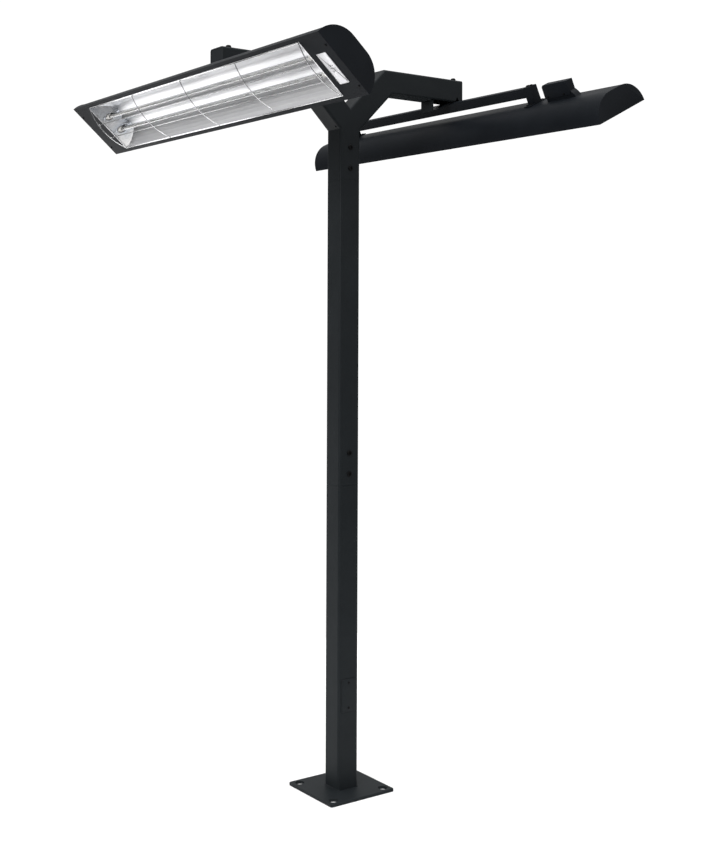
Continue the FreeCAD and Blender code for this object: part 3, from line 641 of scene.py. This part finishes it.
def fitEndSlopes():
    plates = []
    for sign in (-1, 1):
        foot, normal = slopePlane(sign)
        deep = sign * (openingEnd - 0.1)
        plate = outlinePiece([(x, max(z - 0.0003, 0.0006)) for x, z in troughLine()], deep, sign * openingEnd)
        sliceOff(plate, foot + normal * reflectorLook["sheet"], normal, True)
        sliceOff(plate, foot, -normal, True)
        tidyNormals(plate)
        holes = [rodPiece(reflectorLook["hole"], (x, deep, tubeZ), (x, sign * openingEnd, tubeZ))
                 for x in (-tubeX, tubeX)]
        plates.append(cutOut(plate, *holes))
    fitBothHeaters(joined(plates), "endSlopes", "reflector_aluminium", finishes["heat_tinted"],
                   "end_reflectors")


def fitReflectorLip():
    wide, deep, end = reflectorLook["lip"], 0.0012, openingEnd - 0.0004
    side = openingSide - 0.0002
    bars = [boxPiece((-side, -side + wide), (-end, end), (0.0004, deep)),
            boxPiece((side - wide, side), (-end, end), (0.0004, deep)),
            boxPiece((-side + wide, side - wide), (-end, -end + wide), (0.0004, deep)),
            boxPiece((-side + wide, side - wide), (end - wide, end), (0.0004, deep))]
    lip = joined(bars)
    editPiece(lip)
    bpy.ops.mesh.select_all(action="SELECT")
    bpy.ops.mesh.bevel(offset=0.0003, segments=2)
    bpy.ops.object.mode_set(mode="OBJECT")
    fitBothHeaters(smooth(lip), "reflectorLip", "reflector_aluminium", finishes["guard_steel"])


fitReflector()
fitEndSlopes()
fitReflectorLip()
print("reflector folded")


# wire guard: five bowed cross wires and two long ones welded over them

guardLook = {"wire": 0.0015, "around": 10, "alongArc": 28, "crossWires": 5, "weld": 0.0023}


def fitGuard():
    radius, around = guardLook["wire"], guardLook["around"]
    reach, bow = openingSide - radius, -guardZ[0] - radius
    bowRadius = (reach ** 2 + bow ** 2) / (2 * bow)
    centre = bowRadius - bow
    sweep = 2 * math.asin(reach / bowRadius)
    last = guardY[1] - radius
    places = [-last + 2 * last * i / (guardLook["crossWires"] - 1) for i in range(guardLook["crossWires"])]
    wires = []
    for y in places:
        clearSelection()
        bpy.ops.mesh.primitive_circle_add(vertices=around, radius=radius, location=(-reach, y, 0),
                                          fill_type="NGON", rotation=(0, math.pi / 2 + sweep / 2, 0))
        wire = settle(bpy.context.object)
        editPiece(wire)
        bpy.ops.mesh.select_all(action="SELECT")
        bpy.ops.mesh.spin(steps=guardLook["alongArc"], angle=sweep, center=(0, y, centre), axis=(0, 1, 0))
        bpy.ops.object.mode_set(mode="OBJECT")
        wires.append(wire)
    runZ = centre - math.sqrt(bowRadius ** 2 - tubeX ** 2) + 2 * radius
    for x in (-tubeX, tubeX):
        run = rodPiece(radius, (x, -last - radius, runZ), (x, last + radius, runZ), around)
        editPiece(run)
        pickEdges(lambda mid, way: abs(mid.y) > last + radius * 0.9)
        bpy.ops.mesh.bevel(offset=radius * 0.4, segments=2)
        bpy.ops.object.mode_set(mode="OBJECT")
        wires.append(run)
        for y in places:
            clearSelection()
            bpy.ops.mesh.primitive_uv_sphere_add(segments=12, ring_count=6, radius=guardLook["weld"],
                                                 location=(x, y, runZ - radius), scale=(1, 1, 0.6))
            wires.append(settle(bpy.context.object))
    guard = tidyNormals(joined(wires))
    fitBothHeaters(smooth(guard, 50), "wireGuard", "guard_steel", finishes["guard_steel"], "wire_guard")


fitGuard()
print("wire guard bent")


# heating elements: quartz tubes, wound coils and ceramic ends

elementLook = {"wall": 0.0012, "coilWire": 0.0007, "pitch": 0.0046, "turnSteps": 10, "grooves": 3,
               "grooveDeep": 0.0012, "grooveEdge": 0.0006, "leadBore": 0.0025, "tubeFit": 0.0001}


def fitQuartz():
    tubes = []
    for x in (-tubeX, tubeX):
        clearSelection()
        bpy.ops.mesh.primitive_cylinder_add(vertices=40, radius=tubeRadius, depth=tubesY[1] - tubesY[0],
                                            end_fill_type="NOTHING", rotation=(math.pi / 2, 0, 0),
                                            location=(x, 0, tubeZ))
        tube = settle(bpy.context.object)
        editPiece(tube)
        pickPoints(lambda co: abs(co.y) > tubesY[1] - 0.001)
        bpy.ops.mesh.extrude_region_move(TRANSFORM_OT_translate={"value": (0, 0, 0)})
        bpy.ops.object.mode_set(mode="OBJECT")
        tidyNormals(tube)
        tubes.append(addModifier(tube, "SOLIDIFY", thickness=elementLook["wall"], offset=-1))
    fitBothHeaters(smooth(joined(tubes), 40), "quartzTubes", "quartz", finishes["quartz"], "quartz_tubes")


def fitCoils():
    wire, pitch, steps = (elementLook[key] for key in ("coilWire", "pitch", "turnSteps"))
    length = coilsY[1] - coilsY[0] - 0.004  # bare wire at both ends
    turns = int(length / pitch)
    radius = (coilsZ[1] - coilsZ[0]) / 2 - wire
    coils = []
    for x in (-tubeX, tubeX):
        clearSelection()
        bpy.ops.mesh.primitive_circle_add(vertices=6, radius=wire, rotation=(math.pi / 2, 0, 0),
                                          location=(0, 0, 0))
        coil = settle(bpy.context.object)
        editPiece(coil)
        bpy.ops.mesh.select_all(action="SELECT")
        bpy.ops.transform.rotate(value=math.pi / 2, orient_axis="X", center_override=(0, 0, 0))
        bpy.ops.transform.translate(value=(radius, 0, 0))
        bpy.ops.object.mode_set(mode="OBJECT")
        addModifier(coil, "SCREW", axis="Y", angle=2 * math.pi, screw_offset=pitch, iterations=turns,
                    steps=steps, render_steps=steps, use_merge_vertices=False)
        coil.data.transform(Matrix.Translation((x, -turns * pitch / 2, tubeZ)))
        coils.append(tidyNormals(coil))
    fitBothHeaters(smooth(joined(coils), 60), "heatingCoils", "coil_wire", finishes["coil_wire"],
                   "heating_coils")


def fitCeramics():
    capX, capY, capZ = heaterSpan("ceramic_caps")
    inner = min(p.y for p in heaterPoints("ceramic_caps") if p.y > 0)
    radius = capX[1] - tubeX
    grooves = elementLook["grooves"]
    step = (capY[1] - inner) / (2 * grooves + 1)
    cap = rodPiece(radius, (0, 0, inner), (0, 0, capY[1]), 32)
    editPiece(cap)
    for i in range(1, 2 * grooves + 1):
        bpy.ops.mesh.select_all(action="SELECT")
        bpy.ops.mesh.bisect(plane_co=(0, 0, inner + step * i), plane_no=(0, 0, 1))
    for i in range(grooves):
        low = inner + step * (2 * i + 1)
        pickFaces(lambda mid, way: abs(way.z) < 0.5 and low < mid.z < low + step)
        bpy.ops.mesh.extrude_region_shrink_fatten(
            TRANSFORM_OT_shrink_fatten={"value": -elementLook["grooveDeep"]})
    bpy.ops.mesh.select_all(action="SELECT")
    bpy.ops.mesh.normals_make_consistent(inside=False)
    pickEdges(lambda mid, way: abs(way.z) < 0.1 and math.hypot(mid.x, mid.y) > radius * 0.97)
    bpy.ops.mesh.bevel(offset=elementLook["grooveEdge"], segments=2)
    bpy.ops.object.mode_set(mode="OBJECT")
    bore = rodPiece(tubeRadius + elementLook["tubeFit"], (0, 0, inner - 0.01), (0, 0, tubesY[1]))
    lead = rodPiece(elementLook["leadBore"], (0, 0, inner - 0.01), (0, 0, capY[1] + 0.01))
    cutOut(cap, bore, lead)
    places = []
    for x in (-tubeX, tubeX):
        for turn in (-math.pi / 2, math.pi / 2):
            places.append(Matrix.Translation((x, 0, tubeZ)) @ Matrix.Rotation(turn, 4, "X"))
    fitBothHeaters(smooth(repeated(cap, places), 30), "ceramicCaps", "ceramic", finishes["ceramic"],
                   "ceramic_caps")


fitQuartz()
fitCoils()
fitCeramics()
print("elements wound")


# casing: pressed end caps, the name plate and the wiring box cover

casingLook = {"arcPoints": 22, "capEdge": 0.001, "flangeHalf": 0.088, "flangeZ": (0.0021, 0.004)}
badgeLook = {"corner": 0.0015, "rim": 0.0016, "step": 0.0004, "sink": 0.00035,
             "waves": 3, "apart": 0.0095, "bend": 0.0022, "wire": 0.0006}
coverLook = {"round": 0.009, "edge": 0.0022, "wall": 0.0016}
flatHalf = max(p.x for p in heaterPoints("housing") if p.z > shellZ[1] - 0.0001)


def shellOutline():
    rise, out = shellZ[1], shellX[1] - flatHalf
    radius = (out ** 2 + rise ** 2) / (2 * rise)
    first = math.asin((radius - rise) / radius)
    steps = casingLook["arcPoints"]
    right = []
    for i in range(steps + 1):
        angle = -first + (math.pi / 2 + first) * i / steps
        right.append((flatHalf + radius * math.cos(-angle), rise - radius + radius * math.sin(angle)))
    right = [(x, max(z, 0)) for x, z in right]
    return right + [(-x, z) for x, z in reversed(right)]


def fitEndCaps():
    inside = max(abs(p.y) for p in heaterPoints("housing"))
    flange = min(p.y for p in heaterPoints("end_caps") if p.y > 0)
    caps = []
    for sign in (-1, 1):
        cap = outlinePiece(shellOutline(), sign * inside, sign * capsY[1])
        editPiece(cap)
        pickEdges(lambda mid, way: abs(mid.y) > capsY[1] - 0.0001)
        bpy.ops.mesh.bevel(offset=casingLook["capEdge"], segments=4, profile=0.5)
        bpy.ops.object.mode_set(mode="OBJECT")
        caps += [cap, boxPiece((-casingLook["flangeHalf"], casingLook["flangeHalf"]),
                               sorted((sign * flange, sign * inside)), casingLook["flangeZ"])]
    fitBothHeaters(smooth(joined(caps), 40), "endCaps", "heater_black", finishes["heater_black"], "end_caps")


def fitBadge():
    sink = badgeLook["sink"]
    plate = boxPiece(badgeX, badgeY, badgeZ)
    editPiece(plate)
    pickEdges(lambda mid, way: abs(way.z) > 0.9)
    bpy.ops.mesh.bevel(offset=badgeLook["corner"], segments=4)
    pickFaces(lambda mid, way: way.z < -0.9)
    bpy.ops.mesh.inset(thickness=badgeLook["rim"], depth=0)
    bpy.ops.mesh.inset(thickness=badgeLook["step"], depth=-sink)
    bpy.ops.object.mode_set(mode="OBJECT")
    fitBothHeaters(smooth(plate, 30), "badgePlate", "badge_metal", finishes["badge_metal"], "badge")
    midY, face = middle(badgeY), badgeZ[0] + sink
    strokes = []
    bend, waves = badgeLook["bend"], badgeLook["waves"]
    for i in range(waves):
        x = middle(badgeX) + (i - (waves - 1) / 2) * badgeLook["apart"]
        clearSelection()
        bpy.ops.mesh.primitive_circle_add(vertices=8, radius=badgeLook["wire"],
                                          location=(x, midY - 4 * bend, face), rotation=(math.pi / 2, 0, 0))
        stroke = settle(bpy.context.object)
        editPiece(stroke)
        bpy.ops.mesh.select_all(action="SELECT")
        for turn in range(4):
            way = 1 if turn % 2 else -1
            spot = (x, midY + (2 * turn - 3) * bend, face)
            bpy.ops.mesh.spin(steps=8, angle=way * math.pi, center=spot, axis=(0, 0, 1))
        bpy.ops.object.mode_set(mode="OBJECT")
        strokes.append(stroke)
    marks = tidyNormals(joined(strokes))
    fitBothHeaters(smooth(marks, 60), "badgeMarks", "bolt_black", finishes["mark_enamel"])


def fitBoxCover():
    cover = boxPiece(coverX, coverY, coverZ)
    editPiece(cover)
    pickEdges(lambda mid, way: abs(way.x) > 0.9 and mid.y > coverY[1] - 0.001 and mid.z > coverZ[1] - 0.001)
    bpy.ops.mesh.bevel(offset=coverLook["round"], segments=6)
    pickEdges(lambda mid, way: mid.z > coverZ[0] + 0.001 and abs(mid.x) > coverX[1] - 0.0001)
    bpy.ops.mesh.bevel(offset=coverLook["edge"], segments=3)
    pickFaces(lambda mid, way: way.z < -0.9 and mid.z < coverZ[0] + 0.001)
    bpy.ops.mesh.delete(type="FACE")
    bpy.ops.object.mode_set(mode="OBJECT")
    tidyNormals(cover)
    addModifier(cover, "SOLIDIFY", thickness=coverLook["wall"], offset=-1)
    fitBothHeaters(smooth(cover, 40), "boxCover", "heater_black", finishes["heater_black"], "box_cover")


fitEndCaps()
fitBadge()
fitBoxCover()
print("casing closed")


# foot of the post: access plate and the weld bead round the tube

footLook = {"bead": 0.0024, "ripple": 0.0052, "swell": 1.16, "tubeCorner": 0.008,
            "plateCorner": 0.004, "plateEdge": 0.0009}


def fitAccessPlate():
    low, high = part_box("access_cover")
    plate = boxPiece((low.x, high.x), (low.y, high.y), (low.z, high.z))
    editPiece(plate)
    pickEdges(lambda mid, way: abs(way.y) > 0.9)
    bpy.ops.mesh.bevel(offset=footLook["plateCorner"], segments=5)
    pickEdges(lambda mid, way: mid.y < low.y + 0.0001 and abs(way.y) < 0.1)
    bpy.ops.mesh.bevel(offset=footLook["plateEdge"], segments=3)
    bpy.ops.object.mode_set(mode="OBJECT")
    fitOut(smooth(plate, 40), "accessPlate", "stand", "post_black", finishes["post_black"], "access_cover")


def fitFootWeld():
    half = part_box("lower_post")[1].x
    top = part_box("base_plate")[1].z
    corner, bead = footLook["tubeCorner"], footLook["bead"]
    clearSelection()
    bpy.ops.mesh.primitive_circle_add(vertices=8, radius=bead, rotation=(0, math.pi / 2, 0),
                                      location=(-half + corner, -half - bead * 0.3, top + bead * 0.3))
    weld = settle(bpy.context.object)
    editPiece(weld)
    bpy.ops.mesh.select_all(action="SELECT")
    ripples = 2 * round((half - corner) / footLook["ripple"])
    for turn in range(4):
        way = Matrix.Rotation(turn * math.pi / 2, 3, "Z")
        for i in range(ripples):
            stride = way @ Vector((2 * (half - corner) / ripples, 0, 0))
            bpy.ops.mesh.extrude_region_move(TRANSFORM_OT_translate={"value": stride})
            swell = footLook["swell"] if i % 2 else 1 / footLook["swell"]
            bpy.ops.transform.resize(value=(swell, swell, swell))
        spot = way @ Vector((half - corner, -half + corner, 0))
        bpy.ops.mesh.spin(steps=5, angle=-math.pi / 2, center=spot, axis=(0, 0, 1))
    bpy.ops.object.mode_set(mode="OBJECT")
    fitOut(smooth(tidyNormals(weld), 60), "footWeld", "stand", "post_black", finishes["post_black"])


fitAccessPlate()
fitFootWeld()
print("foot finished")


# floor, light and camera

stageLook = {"floor": 3.4, "paper": (0.8, 0.8, 0.8), "skyBright": 0.62, "skyDim": 0.14, "backdrop": 1.05}
cameraLook = {"place": (-2.4848, -3.529, 1.5716), "turn": -36.07, "roll": -0.226, "lens": 53.89,
              "rise": -0.1266}
lampLook = {"overhead": 2.8, "key": 150, "fill": 28, "rear": 38}


def layFloor():
    clearSelection()
    bpy.ops.mesh.primitive_plane_add(size=stageLook["floor"], location=(0, 0, cadBox[0][2]))
    floor = bpy.context.object
    floor.name = "studioFloor"
    finish, nodes, links, shader = newFinish("studio_floor")
    mottled = noise(nodes, links, objectPattern(nodes, links, (1, 1, 1)), 2.0, 4.0)
    light = stageLook["paper"]
    links.new(ramp(nodes, links, mottled, [(0.3, tuple(c * 0.985 for c in light)), (0.7, light)]),
              shader.inputs["Base Color"])
    shader.inputs["Roughness"].default_value = 0.9
    shader.inputs["Specular IOR Level"].default_value = 0.1
    floor.data.materials.append(finish)


def addLamp(name, kind, place, target, power, size):
    light = bpy.data.lights.new(name, kind)
    light.energy = power
    if kind == "SUN":
        light.angle = size
    else:
        light.shape = "RECTANGLE"
        light.size = light.size_y = size
    lamp = bpy.data.objects.new(name, light)
    bpy.context.collection.objects.link(lamp)
    lamp.location = place
    lamp.rotation_euler = (Vector(target) - Vector(place)).to_track_quat("-Z", "Y").to_euler()


def setLights():
    world = bpy.data.worlds.new("studio")
    bpy.context.scene.world = world
    world.use_nodes = True
    nodes, links = world.node_tree.nodes, world.node_tree.links
    room = nodes["Background"]
    upward = nodes.new("ShaderNodeTexCoord")
    split = nodes.new("ShaderNodeSeparateXYZ")
    links.new(upward.outputs["Generated"], split.inputs["Vector"])
    height = nodes.new("ShaderNodeMapRange")
    height.inputs["From Min"].default_value = -0.25
    height.inputs["From Max"].default_value = 0.25
    height.inputs["To Min"].default_value = stageLook["skyDim"]
    height.inputs["To Max"].default_value = stageLook["skyBright"]
    links.new(split.outputs["Z"], height.inputs["Value"])
    links.new(height.outputs["Result"], room.inputs["Strength"])
    backdrop = nodes.new("ShaderNodeBackground")
    backdrop.inputs["Strength"].default_value = stageLook["backdrop"]
    rays = nodes.new("ShaderNodeLightPath")
    choose = nodes.new("ShaderNodeMixShader")
    links.new(rays.outputs["Is Camera Ray"], choose.inputs["Fac"])
    links.new(room.outputs["Background"], choose.inputs[1])
    links.new(backdrop.outputs["Background"], choose.inputs[2])
    links.new(choose.outputs["Shader"], nodes["World Output"].inputs["Surface"])
    for source in (room, backdrop):
        source.inputs["Color"].default_value = (1, 1, 1, 1)
    addLamp("overheadLight", "SUN", (0, 0, 5), (0, 0, 0), lampLook["overhead"], math.radians(70))
    addLamp("keyLight", "AREA", (-4.2, -1.6, 3.2), (0, 0, 1.5), lampLook["key"], 2.4)
    addLamp("fillLight", "AREA", (2.6, -4.6, 2.6), (0, 0, 1.6), lampLook["fill"], 2.4)
    # low and behind, where the near reflector mirrors it
    addLamp("rearLight", "AREA", (-0.6, 4.4, 0.1), (-0.6, 0, 2.3), lampLook["rear"], 2.4)


def setCamera():
    camera = bpy.data.cameras.new("camera")
    camera.lens = cameraLook["lens"]
    camera.shift_y = cameraLook["rise"]
    holder = bpy.data.objects.new("camera", camera)
    bpy.context.collection.objects.link(holder)
    holder.location = cameraLook["place"]
    holder.rotation_euler = [math.radians(a) for a in (90, cameraLook["roll"], cameraLook["turn"])]
    bpy.context.scene.camera = holder


layFloor()
setLights()
setCamera()
bpy.context.scene.view_settings.view_transform = "Standard"
print("floor, light and camera set")

clearSelection()
